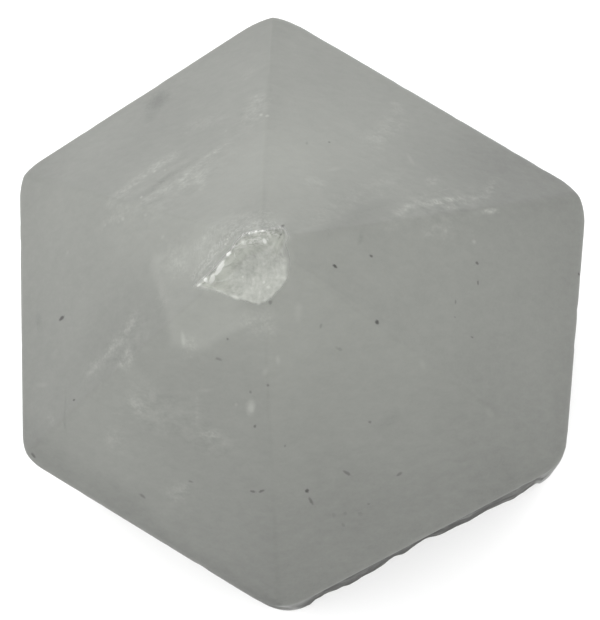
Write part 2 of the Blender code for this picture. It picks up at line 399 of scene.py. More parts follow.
def smooth_rim():
    """A closed Catmull-Rom curve through the points of SCAR_RIM, ragged by a fine wavy field.

    The thin tail of the scar, on the left, keeps the smooth curve.
    """
    rim = np.array(SCAR_RIM)
    before = np.roll(rim, 1, axis=0)[:, None]
    here = rim[:, None]
    after = np.roll(rim, -1, axis=0)[:, None]
    beyond = np.roll(rim, -2, axis=0)[:, None]
    t = np.linspace(0.0, 1.0, RIM_POINTS, endpoint=False)[None, :, None]
    curve = 0.5 * (2.0 * here + (after - before) * t
                   + (2.0 * before - 5.0 * here + 4.0 * after - beyond) * t ** 2
                   + (3.0 * here - before - 3.0 * after + beyond) * t ** 3)
    curve = curve.reshape(-1, 2)
    x, y = curve.T
    ragged = [wavy_field(x, y, RIM_RAGGED_SPACING, seed) for seed in RIM_RAGGED_SEEDS]
    return curve + RIM_RAGGED * np.stack(ragged, axis=1) * smooth_step(x, *RAGGED_FROM)[:, None]


def rim_crossings(outline):
    """For each outline point, where the straight line from the apex to it crosses the scar's rim.

    In polar measures about the apex the rim is one distance for each angle, so the
    distance is read off at the angle of the outline point.
    """
    rim = smooth_rim() - TIP[:2]
    angle = np.arctan2(rim[:, 1], rim[:, 0])
    distance = np.linalg.norm(rim, axis=1)
    order = np.argsort(angle)
    ray = outline - TIP[:2]
    ray_angle = np.arctan2(ray[:, 1], ray[:, 0])
    ray = ray / np.linalg.norm(ray, axis=1)[:, None]
    reach = np.interp(ray_angle, angle[order], distance[order], period=2.0 * math.pi)
    return TIP[:2] + ray * reach[:, None]


def rim_distance(x, y):
    """Distance in plan from each point to the scar's rim, taken piece by piece of the curve."""
    rim = smooth_rim()
    step = np.roll(rim, -1, axis=0) - rim
    flat = np.stack([x.ravel(), y.ravel()], axis=1)
    nearest = np.full(len(flat), np.inf)
    for start, along in zip(rim, step):
        share = np.clip((flat - start) @ along / (along @ along), 0.0, 1.0)
        gap = flat - start - share[:, None] * along
        nearest = np.minimum(nearest, np.hypot(gap[:, 0], gap[:, 1]))
    return nearest.reshape(x.shape)


def chipped_side(x, y):
    """1 on the back left side of the scar, where the blow fell, and 0 on the other side.

    Its back corner is chipped too, as a bell curve of the distance from BACK_CORNER.
    """
    toward = (x - SCAR_MIDDLE[0]) * BLOW_SIDE[0] + (y - SCAR_MIDDLE[1]) * BLOW_SIDE[1]
    apart = (x - BACK_CORNER[0]) ** 2 + (y - BACK_CORNER[1]) ** 2
    back_corner = BACK_CORNER_SHARE * np.exp(-apart / BACK_CORNER_SPREAD)
    return np.maximum(smooth_step(toward, *BLOW_FROM), back_corner)


def face_relief(x, y):
    """Low swells of the pyramid's faces, a few hundredths of a mm and always inwards."""
    return summed_waves(x, y, FACE_WAVES) - FACE_DEPTH


def shock_ripples(x, y, distance):
    """Shell-like ripples outside the chipped rim: a patchy sine of the distance, always inwards.

    It fades with the distance, and out towards the scar's tail on the left.
    """
    turn = 2.0 * math.pi * distance / RIPPLE_LENGTH + summed_waves(x, y, RIPPLE_WANDER)
    wave = np.sin(turn)
    patchy = smooth_step(wavy_field(x, y, *RIPPLE_PATCHES), -0.5, 0.5)
    fade = np.exp(-distance / RIPPLE_REACH) * smooth_step(distance, 0.0, RIPPLE_ONSET)
    fade = fade * smooth_step(x, *RIPPLES_FROM)
    return RIPPLE_DEPTH * (wave - 1.0) * patchy * fade * chipped_side(x, y)


def scar_relief(x, y, distance):
    """Relief of the broken floor: hummocks, and terraces stepping down from the chipped side.

    The hummocks are higher on the chipped side, and the terraces' edges wander.
    """
    rough = summed_waves(x, y, HUMMOCKS)
    edge = distance + summed_waves(x, y, TERRACE_WANDER)
    steps_down = sum(smooth_step(edge, near, far) for near, far in TERRACES)
    chipped = chipped_side(x, y)
    rough = rough * (HUMMOCK_LEAST + HUMMOCK_EXTRA * chipped)
    return rough - TERRACE_DROP * (steps_down - len(TERRACES)) * chipped


def scar_brim(x, y):
    """Height of the rim as felt inside it: an average of all its points' heights.

    Each point counts by one over the cube of its distance.
    """
    rim = smooth_rim()
    rim_heights = pyramid_height(rim[:, 0], rim[:, 1])
    away = np.hypot(x.ravel()[:, None] - rim[:, 0], y.ravel()[:, None] - rim[:, 1])
    nearness = 1.0 / (away ** 3 + 0.001)
    return (nearness @ rim_heights / nearness.sum(axis=1)).reshape(x.shape)


def scar_floor(x, y, distance):
    """Height of the scar: a tilted floor, with a wall that climbs to the rim round it.

    The wall is a bell curve of the distance from the rim. Relief is added to both, and
    the whole scar stays a step below the old faces.
    """
    tilt = SCAR_SLOPE[0] * (x - SCAR_MIDDLE[0]) + SCAR_SLOPE[1] * (y - SCAR_MIDDLE[1])
    floor = SCAR_HEIGHT + tilt
    wall = np.exp(-(distance / SCAR_WALL) ** 2)
    relief = scar_relief(x, y, distance)
    step = SCAR_STEP * (1.0 - CHIPPED_LIP * chipped_side(x, y))
    below_faces = pyramid_height(x, y) - step + np.minimum(relief, SCAR_RELIEF_MOST * step)
    return np.minimum(floor + (scar_brim(x, y) - floor) * wall + relief, below_faces)


def pyramid_grid():
    """Rings of the six faces from the worn shoulder in to the scar's rim, as x, y, z in mm.

    In plan each column runs straight from the shoulder towards the apex. The rings are evenly
    spaced along it down to a band round the scar, where they lie closer together.
    """
    top, outward, _, chip = shoulder_ring()
    top = top - outward * chip[:, None]
    shoulder = np.column_stack([top, pyramid_height(top[:, 0], top[:, 1])])
    length = np.linalg.norm(top - TIP[:2], axis=1)
    rim = rim_crossings(top)
    rim_share = 1.0 - np.linalg.norm(rim - TIP[:2], axis=1) / length
    band_share = rim_share - BAND_WIDTH / length
    first = SHOULDER_WEAR / length
    outer = np.linspace(0.0, 1.0, FACE_RINGS, endpoint=False)[:, None]
    inner = np.linspace(0.0, 1.0, BAND_RINGS)[:, None]
    outer_shares = first + (band_share - first) * outer
    shares = np.concatenate([outer_shares, band_share + (rim_share - band_share) * inner])
    grid = shoulder + (TIP - shoulder) * shares[..., None]
    x = grid[..., 0]
    y = grid[..., 1]
    distance = rim_distance(x, y)
    fade = smooth_step(shares, first, first + FACE_FADE)
    grid[..., 2] = pyramid_height(x, y) + face_relief(x, y) * fade + shock_ripples(x, y, distance)
    worn = shoulder + (TIP - shoulder) * (WORN_INSET * first)[:, None]
    worn[:, 2] = shoulder[:, 2] - WORN_DROP * SHOULDER_WEAR
    return np.concatenate([worn[None], grid])


def scar_grid():
    """Rings of the scar's floor from its rim in to the point under the apex, as x, y, z in mm."""
    top, outward, _, chip = shoulder_ring()
    rim = rim_crossings(top - outward * chip[:, None])
    reach = np.linalg.norm(rim - TIP[:2], axis=1)
    shares = np.linspace(0.0, 1.0, SCAR_FLOOR_RINGS + 1)[:-1] ** SCAR_CROWDING
    inset = np.maximum(1.0 - SCAR_LIP / reach, 0.5)
    keep = inset * (1.0 - shares[:, None])
    plan = TIP[:2] + (rim - TIP[:2]) * keep[..., None]
    x = plan[..., 0]
    y = plan[..., 1]
    return np.concatenate([plan, scar_floor(x, y, rim_distance(x, y))[..., None]], axis=2)


def ring_faces(rings, columns, start):
    """Four-sided faces between neighbouring rings of a closed grid, turned outwards."""
    ring = np.arange(rings - 1)[:, None]
    column = np.arange(columns)[None]
    after = (column + 1) % columns
    low = start + ring * columns
    high = low + columns
    return np.stack([low + column, low + after, high + after, high + column], axis=2).reshape(-1, 4)


def crystal_surface():
    """All points in mm, four-sided faces, closing triangles and the finish number of each face."""
    walls = wall_grid()
    faces = pyramid_grid()
    scar = scar_grid()
    grid = np.concatenate([walls, faces, scar])
    rings, columns = grid.shape[:2]
    quads = ring_faces(rings, columns, 0)
    finish = np.zeros((rings - 1, columns), dtype=int)
    finish[len(walls) + len(faces) - 1:] = BREAK_FINISH
    finish[0] = FOOT_FINISH
    foot_pole = grid[0].mean(axis=0)
    tip_x = np.array([TIP[0]])
    tip_y = np.array([TIP[1]])
    tip_z = scar_floor(tip_x, tip_y, rim_distance(tip_x, tip_y))
    tip_pole = np.array([TIP[0], TIP[1], tip_z[0]])
    points = np.concatenate([grid.reshape(-1, 3), foot_pole[None], tip_pole[None]])
    column = np.arange(columns)
    after = (column + 1) % columns
    foot_corner = np.full(columns, rings * columns)
    tip_corner = foot_corner + 1
    last = (rings - 1) * columns
    foot_fan = np.stack([after, column, foot_corner], axis=1)
    tip_fan = np.stack([last + column, last + after, tip_corner], axis=1)
    fan_finish = np.concatenate([np.full(columns, FOOT_FINISH), np.full(columns, BREAK_FINISH)])
    finish = np.concatenate([finish.ravel(), fan_finish])
    points[:, :2] -= np.array(MIDDLE)
    return points, quads, np.concatenate([foot_fan, tip_fan]), finish


# ---------------------------------------------------------------- what lies in the quartz

# Paleness is counted in steps: PALER_PER_STEP is how much one step lightens the quartz.
PALER_PER_STEP = 0.022

# Healed cracks and wisps seen in the faces: a line in plan, its half width in mm and how
# much paler (or, below 0, darker) it is, in steps.
WISPS = (
    (((-14.9, 5.5), (-13.3, 6.7), (-10.3, 9.2), (-7.7, 10.3)), 0.50, 8),
    (((-15.7, 3.8), (-14.4, 4.8), (-11.3, 5.5), (-9.0, 6.5), (-6.9, 8.1), (-4.4, 9.9)), 0.45, 5),
    (((-6.8, 8.6), (-4.3, 10.0)), 0.24, 8),
    (((-12.6, 5.0), (-10.6, 6.5), (-8.6, 7.9), (-6.6, 8.9)), 0.38, -6),
    (((-10.9, 6.2), (-8.7, 8.2)), 0.28, -5),
    (((-8.4, 7.2), (-5.6, 6.7)), 0.99, 8),
    (((-3.5, 10.8), (-2.4, 14.5)), 0.85, 5),
    (((-9.4, 12.3), (-4.7, 12.9)), 0.63, 4),
    (((-4.8, 16.6), (-3.0, 17.4)), 0.56, 3),
    (((-11.9, 15.2), (-12.0, 13.9)), 0.56, -6),
    (((-8.3, 1.3), (-7.7, 0.3), (-7.2, -1.1)), 0.75, 8),
    (((-9.4, -0.9), (-8.6, -2.8)), 0.60, 3),
    (((6.2, 2.2), (7.3, 3.1), (8.5, 4.9), (10.3, 5.5), (12.4, 6.0), (14.2, 6.8), (15.9, 9.8)), 0.39, 7),
    (((9.9, 5.4), (12.7, 6.5)), 0.25, 12),
    (((13.9, 5.3), (15.5, 5.8)), 0.2, 14),
    (((9.8, 7.3), (11.0, 8.2)), 0.35, 8),
    (((9.3, 2.5), (12.0, 4.1)), 0.63, 4),
    (((5.1, 9.9), (6.9, 12.5), (7.9, 14.6)), 0.85, 5),
    (((7.4, 15.9), (8.1, 14.2)), 0.55, 5),
    (((1.1, 6.1), (2.7, 5.6)), 0.49, 5),
    (((0.9, 1.1), (4.5, 5.0), (8.5, 8.4)), 0.85, 3),
    (((1.1, 0.1), (5.1, 3.4), (8.6, 5.8)), 0.63, -4),
    (((-10.8, -2.1), (-12.9, -4.3), (-16.9, -7.0)), 0.55, 7),
    (((-11.6, -5.2), (-13.0, -6.7)), 0.55, 10),
    (((-13.0, -8.4), (-11.8, -9.1), (-10.9, -9.5)), 0.45, 6),
    (((-12.9, -7.7), (-10.0, -8.7)), 1.13, 2.5),
    (((-7.2, -11.1), (-6.4, -11.2), (-5.3, -11.4)), 0.36, 8),
    (((-6.9, -8.3), (-7.3, -10.9)), 0.14, 2.5),
    (((-7.9, -5.4), (-6.5, -5.5)), 0.63, 8),
    (((-3.5, -4.4), (-0.4, -4.7)), 0.77, 6),
    (((-20.4, -8.9), (-19.4, -9.7)), 0.35, 5),
    (((-15.4, -11.0), (-12.9, -11.1)), 0.92, 4),
    (((-10.6, -15.6), (-8.3, -14.6)), 0.7, 5),
    (((5.7, -11.1), (8.0, -9.6)), 0.42, -4),
    (((-18.3, -7.4), (-18.6, -10.7)), 0.13, -5),
)

# Crushed, white grains: x, y, half length, half width, turn in degrees, paleness in steps.
GRAINS = (
    (-10.5, 8.4, 0.15, 0.15, 0, 18), (-10.3, 9.2, 0.21, 0.21, 0, 10), (-9.6, 8.3, 0.14, 0.14, 0, 12),
    (-11.2, 6.0, 0.15, 0.15, 0, 22), (-12.7, 4.6, 0.18, 0.18, 0, 16), (-13.1, 4.5, 0.14, 0.14, 0, 10),
    (-2.3, 12.0, 0.17, 0.17, 0, 25), (-1.8, 11.8, 0.17, 0.17, 0, 25), (-2.9, 14.2, 0.18, 0.18, 0, 12),
    (-9.1, 2.3, 0.18, 0.18, 0, 9), (-5.6, 1.3, 0.21, 0.21, 0, 12), (-18.2, 3.5, 0.18, 0.18, 0, 8),
    (13.4, 3.0, 0.18, 0.18, 0, 14), (-4.0, -9.5, 0.14, 0.14, 0, 9), (-10.6, 4.3, 0.14, 0.14, 0, 10),
    (-14.4, 4.6, 0.14, 0.14, 0, 9), (-5.0, 11.1, 0.14, 0.14, 0, 9), (11.2, 3.3, 0.18, 0.18, 0, 8),
    (-11.55, 16.35, 1.45, 1.05, -113, -12), (8.70, 9.65, 0.69, 0.21, -66, 7),
    (3.10, 7.35, 0.76, 0.21, 27, 6), (-15.70, -6.10, 0.69, 0.26, -153, 7),
    (-6.30, -8.40, 0.65, 0.16, 0, 5), (-2.90, -9.75, 0.55, 0.40, -106, 21),
    (-0.70, -6.85, 0.32, 0.19, -90, 10), (-1.60, -7.60, 0.37, 0.24, -135, 9),
    (-7.60, -5.00, 0.50, 0.21, -90, 16), (0.85, -3.85, 0.65, 0.32, -98, 7),
    (-20.80, -6.45, 0.73, 0.24, -6, 6), (9.40, -6.45, 0.43, 0.26, -56, 6),
    (14.55, -9.35, 0.51, 0.32, -45, 6), (-21.25, -1.30, 0.85, 0.37, -84, -6),
    (5.10, 1.40, 0.51, 0.21, 72, -6),
)

# The scar's painted highlights: white glints where its broken facets catch the light, and its
# thin cracks and greyer mottles, in the same measures.
PAINTED_GLINTS = (
    (-6.05, -1.83, 0.22, 0.10, 17, 80), (-5.52, -1.58, 0.14, 0.14, 26, 240),
    (-5.04, -1.52, 0.34, 0.15, 58, 250), (-4.42, -0.97, 0.54, 0.13, 44, 260),
    (-3.70, -0.27, 0.23, 0.12, 27, 240), (-2.15, 0.78, 0.09, 0.09, 10, 120),
    (-1.68, 0.83, 0.10, 0.10, 17, 140), (-1.24, 0.85, 0.15, 0.08, 8, 130),
    (-2.67, 0.38, 0.20, 0.12, 17, 75), (-1.20, 0.40, 0.15, 0.12, -15, 150),
    (-3.79, 0.76, 0.10, 0.09, 11, 40), (-3.96, 0.46, 0.13, 0.08, 7, 35),
    (-0.79, 0.64, 0.12, 0.10, -10, 35), (-0.27, 0.74, 0.10, 0.08, -73, 30),
    (-2.10, 0.45, 0.11, 0.10, 8, 30), (-2.89, -1.53, 0.10, 0.10, -27, 32),
    (-1.37, -2.09, 0.12, 0.12, -34, 32), (-1.05, -2.45, 0.15, 0.12, -21, 26),
    (-3.38, -2.96, 0.40, 0.14, -26, 36), (-1.72, -3.51, 0.21, 0.09, 9, 22),
    (-4.76, -0.01, 0.37, 0.07, 31, 16), (-5.24, -0.51, 0.47, 0.06, 31, 12),
    (-5.88, -1.04, 0.23, 0.06, 47, 12), (-4.09, 0.12, 0.38, 0.06, 23, 14),
    (-2.98, 0.12, 0.36, 0.08, 22, 18), (-2.75, -0.10, 0.40, 0.07, 35, 14),
)

# Paler and greyer patches of the scar: x, y, radius and paleness in steps.
SCAR_MISTS = (
    (-5.38, -1.78, 0.34, 60), (-4.30, -1.15, 0.40, 22), (-3.05, -0.34, 0.32, 24),
    (-0.55, 0.36, 0.32, 20), (-4.25, -2.05, 0.45, 12), (-2.55, 0.20, 0.30, 16),
    (-1.66, 0.80, 0.32, 24), (-3.18, -0.98, 0.40, -22), (-2.15, -1.30, 0.40, -20),
    (-1.85, -0.15, 0.40, -10), (-1.00, -0.95, 0.45, -18), (-1.00, -0.15, 0.32, -12),
    (-2.40, -0.85, 0.45, -8), (-0.30, -0.45, 0.42, -16), (0.45, -0.60, 0.35, 6),
    (0.06, 0.62, 0.38, 18), (-3.55, -0.52, 0.30, 24), (-0.06, -0.70, 0.36, -14),
    (-2.15, -3.10, 0.30, -8), (-1.10, -2.95, 0.30, -8), (-2.00, -2.45, 0.35, 8),
    (-3.50, -1.60, 0.30, -6), (-1.95, 1.50, 0.60, 9), (-0.35, 1.75, 0.60, 8), (0.02, 0.20, 0.28, 11),
    (-3.95, -0.85, 0.24, 16), (-3.30, -2.15, 0.30, -7),
)

# Dark mineral specks: x, y, half length, half width, turn in degrees, darkness from 0 to 1.
SPECKS = (
    (3.39, -0.73, 0.21, 0.14, -30, 1), (5.82, 0.43, 0.15, 0.12, 0, 0.85), (6.19, -4.02, 0.17, 0.18, 0, 1),
    (-18.80, -1.52, 0.36, 0.19, 20, 1), (-17.48, -8.11, 0.14, 0.11, 0, 0.9),
    (22.18, 2.32, 0.14, 0.11, 90, 0.9), (13.61, 1.49, 0.16, 0.13, -40, 0.8),
    (13.68, 0.04, 0.23, 0.09, 90, 0.7), (11.92, -1.65, 0.21, 0.08, 90, 0.5),
    (11.87, -2.74, 0.09, 0.08, 0, 0.4), (13.18, -3.99, 0.15, 0.08, -15, 0.6),
    (-5.01, -6.52, 0.31, 0.12, -20, 0.45), (-4.22, -5.36, 0.12, 0.10, 0, 0.6),
    (3.75, -14.00, 0.42, 0.13, -28, 0.6), (7.67, -13.93, 0.32, 0.12, 30, 0.55),
    (-3.25, -15.40, 0.28, 0.11, -12, 0.75), (-2.58, -15.39, 0.32, 0.11, 15, 0.75),
    (0.76, -15.35, 0.18, 0.17, 0, 1), (1.01, -16.05, 0.35, 0.14, -65, 0.7),
    (3.34, -17.73, 0.18, 0.15, 0, 0.3), (2.66, -17.01, 0.21, 0.18, 0, 0.2),
    (3.49, -16.88, 0.21, 0.17, 0, 0.25), (4.62, -16.89, 0.25, 0.18, 0, 0.2),
    (5.28, -16.15, 0.13, 0.11, 0, 0.35), (5.54, -10.45, 0.15, 0.12, 0, 0.55),
    (-2.69, -10.99, 0.13, 0.13, 0, 0.7), (-0.60, -12.33, 0.11, 0.11, 0, 0.4),
    (-12.55, -15.35, 0.34, 0.14, -32, 0.55), (-8.24, -14.48, 0.24, 0.10, -15, 0.5),
    (2.70, 10.04, 0.12, 0.10, 0, 0.6), (1.15, 9.58, 0.18, 0.11, 90, 0.3),
    (-2.83, -8.78, 0.13, 0.13, 0, 0.5), (-1.48, -8.45, 0.13, 0.11, 0, 0.6),
    (2.33, -4.58, 0.21, 0.10, 65, 0.35), (3.49, -5.88, 0.28, 0.14, -15, 0.3),
    (0.00, 1.44, 0.22, 0.12, 60, 0.65), (-0.10, 0.82, 0.11, 0.10, 0, 0.55),
    (-0.93, -3.45, 0.18, 0.13, 50, 0.5), (-21.98, -11.88, 0.30, 0.16, -50, 0.8),
)

UPPER_DEPTH = 3.0     # points this little below the unbroken pyramid count as its upper faces, mm
LAYERS = 3            # marks are dealt to layers in turn, so that few neighbours share one
WISP_MARGIN = 0.8     # how far beside a mark its measures are still kept, mm
BLOT_MARGIN = 0.45
WISP_ENDS = 0.25      # share of a wisp's length in which it sets in, and in which it dies away

# An inner crack shows left of and below the scar as a paler veil. Its visible edge in plan,
# with the veil on the left of its direction, and how far the veil reaches:
VEIL_EDGE = (
    (-9.95, 1.90), (-10.05, 0.20), (-9.60, -1.10), (-8.75, -3.10), (-8.45, -5.30), (-6.40, -5.95),
    (-4.40, -5.10), (-1.60, -4.40),
)
EDGE_ENDS = (0.08, 0.15)      # shares of a line in which its paleness sets in and dies away
VEIL_SOFTNESS = 0.35
VEIL_REACH = 3.2
VEIL_PALENESS = 9.0

# Along the front left the faces turn greyer outside this line, on the right of its direction:
GREY_EDGE = (
    (-22.80, -7.80), (-19.15, -10.70), (-17.25, -12.65), (-14.10, -13.75), (-12.00, -16.05),
    (-9.30, -18.75), (-6.10, -20.70), (-3.35, -22.65),
)
GREY_RISE = (-0.4, 1.4)       # distances outside the line between which it sets in
GREY_PALENESS = -5.0

# Right of the tip the quartz is paler on the left of this line than on its right:
CLOUD_EDGE = ((0.50, 0.40), (2.75, 2.00), (5.05, 3.30), (9.35, 5.55), (15.50, 6.70))
CLOUD_SOFTNESS = 0.9
CLOUD_REACH = 3.5
CLOUD_PALENESS = 3.0

# Paler round the axis and darker towards the walls, and painted light: paler towards the
# back left, where the lamp stands. Steps on the axis, steps per mm, and steps per square mm.
PALENESS_ON_AXIS = -2.6
PAINTED_LIGHT_SLOPE = (-0.23, 0.31)
PALENESS_FALLOFF = -0.0219

# From the rim in, the scar's mottles set in over this width, and so much more on two sides, mm:
FRESH_WIDTH = 0.16
FRESH_CHIPPED = 0.45
FRESH_RIGHT = 0.40

# Soft mists in the milk: x, y, radius in mm and paleness in steps.
MISTS = (
    (-2.0, 6.0, 5.0, 8.0), (14.5, 9.5, 5.0, -5.0), (-10.5, -2.0, 3.5, -4.0), (20.0, -5.0, 6.0, 4.0),
    (-18.0, -10.0, 5.0, 4.0), (-11.0, 13.5, 4.0, -4.0), (-9.5, 3.5, 4.5, 4.0), (-4.5, 0.9, 2.6, 8.0),
    (-14.8, -5.5, 3.2, -5.0), (4.5, 4.0, 2.8, -4.0), (20.0, -12.0, 3.5, 4.0), (-13.5, -14.5, 4.0, 2.5),
    (2.5, 9.0, 5.0, 4.0), (-7.5, -9.0, 5.5, -3.0), (3.0, -14.0, 5.0, -2.0),
    (24.0, 5.0, 5.0, 4.0), (-6.3, 0.0, 1.5, 6.0), (-0.60, 1.70, 1.4, 3.0),
)

# Painted light and shade at the ridges, evening out lit and shaded faces: for the ridge up from
# each corner, how much paler its anticlockwise side is and how much darker the other, in steps.
RIDGE_PAINTED_LIGHT = (-0.7, -1.4, 0.0, 2.2, 2.2, 1.4)
RIDGE_SOFTNESS = 0.12
RIDGE_REACH = 7.0

# Feathery stretches, where fine threads show: x, y, half length, half width, turn in degrees.
FEATHER_CORE = 0.25           # share of a stretch that is feathery in full
FEATHERS = (
    (-8.6, 6.6, 6.8, 3.0, 35), (10.6, 5.4, 6.0, 2.1, 20), (-12.4, -4.6, 3.7, 1.9, 48),
    (-9.6, -9.8, 5.0, 2.1, -14), (-6.4, -11.8, 3.2, 1.3, -16),
    (-8.1, 0.9, 2.3, 1.5, 30), (-3.0, 12.6, 3.6, 1.8, 68), (-4.3, 1.1, 3.6, 2.0, 40),
)

# Where the blow crushed the quartz white, and along the scar's slash and arcs also painted
# glints where its facets catch the light: a line in plan and its half width, mm, and strength.
BRUISES_AND_GLINTS = (
    (((-6.50, -1.75), (-5.50, -1.52), (-4.90, -1.15), (-4.40, -0.78), (-3.50, -0.18)), 0.13, 0.20),
    (((-2.80, 0.70), (-2.10, 0.83), (-1.55, 0.81), (-0.90, 0.80), (-0.30, 0.88)), 0.21, 0.50),
    (((-3.25, 0.10), (-2.50, 0.38), (-1.85, 0.44), (-1.10, 0.42)), 0.22, 0.48),
    (((-5.60, -2.10), (-4.55, -2.60), (-3.55, -3.07), (-2.90, -3.29)), 0.10, 0.22),
    (((-6.40, -1.20), (-5.50, -0.30), (-4.50, 0.50), (-3.50, 1.05), (-2.30, 1.40), (-0.40, 1.45)),
     0.80, 0.41),
    (((-6.40, 0.60), (-4.80, 1.60), (-3.20, 1.95), (-1.00, 2.30)), 1.20, 0.34),
)

# Painted shade darkens the broken wall, which faces away from the light. It sets in between
# these two depths under the pyramid, mm, and between these two measures of how nearly a point
# faces that wall:
PAINTED_SHADE_FROM = (0.25, 0.7)
FACING_RISE = (-8.0, 12.0)


def line_measures(line, x, y):
    """For every point, its nearest place on an open line: share of the length, and signed distance.

    The share runs from 0 at the line's start to 1 at its end. The distance is positive
    to the left of the line's own direction.
    """
    corners = np.array(line)
    steps = np.diff(corners, axis=0)
    lengths = np.linalg.norm(steps, axis=1)
    behind = np.append(0.0, np.cumsum(lengths))
    best = np.full(x.shape, np.inf)
    share = np.zeros(x.shape)
    for start, step, length, passed in zip(corners, steps, lengths, behind):
        dx = x - start[0]
        dy = y - start[1]
        along = np.clip((dx * step[0] + dy * step[1]) / length ** 2, 0.0, 1.0)
        gap = np.hypot(dx - along * step[0], dy - along * step[1])
        side = np.where(step[0] * dy - step[1] * dx < 0.0, -1.0, 1.0)
        nearer = gap < np.abs(best)
        best = np.where(nearer, gap * side, best)
        share = np.where(nearer, (passed + along * length) / behind[-1], share)
    return share, best


def wisp_places(wisps, x, y):
    """The nearest wisp's own measures at each point: half widths across, share along, paleness.

    The paleness fades to nothing at both ends, and is 0 past WISP_MARGIN beside the wisp.
    """
    nearest = np.full(x.shape, np.inf)
    places = np.zeros(x.shape + (3,))
    for line, half_width, paleness in wisps:
        share, distance = line_measures(line, x, y)
        gap = np.abs(distance) - half_width
        strength = paleness * smooth_step(share, 0.0, WISP_ENDS)
        strength = strength * smooth_step(1.0 - share, 0.0, WISP_ENDS)
        own = np.stack([distance / half_width, share, strength * (gap < WISP_MARGIN)], axis=-1)
        nearer = gap < nearest
        nearest = np.where(nearer, gap, nearest)
        places = np.where(nearer[..., None], own, places)
    return places


def blot_places(blots, x, y):
    """The nearest blot's own measures at each point: along and across in half sizes, and strength.

    The strength is 0 past BLOT_MARGIN beside the blot.
    """
    nearest = np.full(x.shape, np.inf)
    places = np.zeros(x.shape + (3,))
    for middle_x, middle_y, half_length, half_width, turn, strength in blots:
        cosine = math.cos(math.radians(turn))
        sine = math.sin(math.radians(turn))
        dx = x - middle_x
        dy = y - middle_y
        gap = np.hypot(dx, dy) - half_length
        along = (dx * cosine + dy * sine) / half_length
        across = (dy * cosine - dx * sine) / half_width
        own = np.stack([along, across, strength * (gap < BLOT_MARGIN)], axis=-1)
        nearer = gap < nearest
        nearest = np.where(nearer, gap, nearest)
        places = np.where(nearer[..., None], own, places)
    return places


def bruise_and_glint_strength(x, y):
    """Crushed white and painted glints: the strongest of the bruise lines, each a bell curve across."""
    strength = np.zeros(x.shape)
    for line, half_width, most in BRUISES_AND_GLINTS:
        _, distance = line_measures(line, x, y)
        strength = np.maximum(strength, most * np.exp(-(distance / half_width) ** 2))
    return strength


def edge_paleness(line, x, y, softness, reach):
    """1 on the left of a line and 0 on its right, fading with the distance and at both ends."""
    share, distance = line_measures(line, x, y)
    ends = smooth_step(share, 0.0, EDGE_ENDS[0]) * smooth_step(1.0 - share, 0.0, EDGE_ENDS[1])
    beyond_edge = smooth_step(distance, -softness, softness)
    return beyond_edge * np.exp(-np.maximum(distance, 0.0) / reach) * ends


def milkiness_and_painted_light(x, y):
    """Paleness in steps: milk, mists, veil, cloud, grey edge, and painted light and shade."""
    # Painted light towards the back left; paler round the axis, darker towards the walls.
    steps = PALENESS_ON_AXIS + PAINTED_LIGHT_SLOPE[0] * x + PAINTED_LIGHT_SLOPE[1] * y
    steps = steps + PALENESS_FALLOFF * (x * x + y * y)
    for middle_x, middle_y, radius, paleness in MISTS + SCAR_MISTS:
        away = np.hypot(x - middle_x, y - middle_y)
        steps = steps + paleness * np.exp(-(away / radius) ** 2)
    steps = steps + VEIL_PALENESS * edge_paleness(VEIL_EDGE, x, y, VEIL_SOFTNESS, VEIL_REACH)
    steps = steps + CLOUD_PALENESS * edge_paleness(CLOUD_EDGE, x, y, CLOUD_SOFTNESS, CLOUD_REACH)
    # Painted light and shade on the two sides of each ridge.
    for corner, painted_light in zip(PLAN, RIDGE_PAINTED_LIGHT):
        _, distance = line_measures((TIP[:2] - np.array(MIDDLE), corner - np.array(MIDDLE)), x, y)
        side = 2.0 * smooth_step(distance, -RIDGE_SOFTNESS, RIDGE_SOFTNESS) - 1.0
        steps = steps + painted_light * side * np.exp(-np.abs(distance) / RIDGE_REACH)
    _, distance = line_measures(GREY_EDGE, x, y)
    return steps + GREY_PALENESS * smooth_step(-distance, *GREY_RISE)


def feather_strength(x, y):
    """1 in the middle of each feathery stretch, falling to 0 at its rim: an ellipse in plan."""
    strength = np.zeros(x.shape)
    for middle_x, middle_y, half_length, half_width, turn in FEATHERS:
        cosine = math.cos(math.radians(turn))
        sine = math.sin(math.radians(turn))
        along = ((x - middle_x) * cosine + (y - middle_y) * sine) / half_length
        across = ((y - middle_y) * cosine - (x - middle_x) * sine) / half_width
        fading = smooth_step(np.hypot(along, across), FEATHER_CORE, 1.0)
        strength = np.maximum(strength, 1.0 - fading)
    return strength


def broken_wall_painted_shade(x, y, z):
    """How far the painted shade of the broken wall covers a point: up to 1 there, 0 on other walls.

    It is a smooth step of how nearly the point's direction from the axis faces that wall.
    The painted shade is darker towards the foot and is patchy.
    """
    start = PLAN[BROKEN_WALL] - np.array(MIDDLE)
    end = PLAN[(BROKEN_WALL + 1) % WALLS] - np.array(MIDDLE)
    left = start[0] * y - start[1] * x
    right = x * end[1] - y * end[0]
    along = (x * (end[0] - start[0]) + y * (end[1] - start[1])) / BROKEN_WIDTH
    patches = 0.95 + 0.20 * wavy_field(along, z, 3.1, 94) + 0.15 * wavy_field(along, z, 1.0, 95)
    shade_strength = patches * (1.0 - 0.65 * smooth_step(z, 6.0, SHOULDERS.min()))
    facing = smooth_step(left, *FACING_RISE) * smooth_step(right, *FACING_RISE)
    return np.clip(shade_strength, 0.0, 1.0) * facing


def freshness(x, y):
    """How freshly broken the scar looks, from 0 at its rim to 1 inside.

    The rise takes FRESH_WIDTH, and more on the chipped side and on the right.
    """
    right_side = smooth_step(x, -0.9, 0.1) * smooth_step(y, -1.8, -0.9)
    width = FRESH_WIDTH + FRESH_CHIPPED * chipped_side(x, y) + FRESH_RIGHT * right_side
    return smooth_step(rim_distance(x, y), 0.0, width)


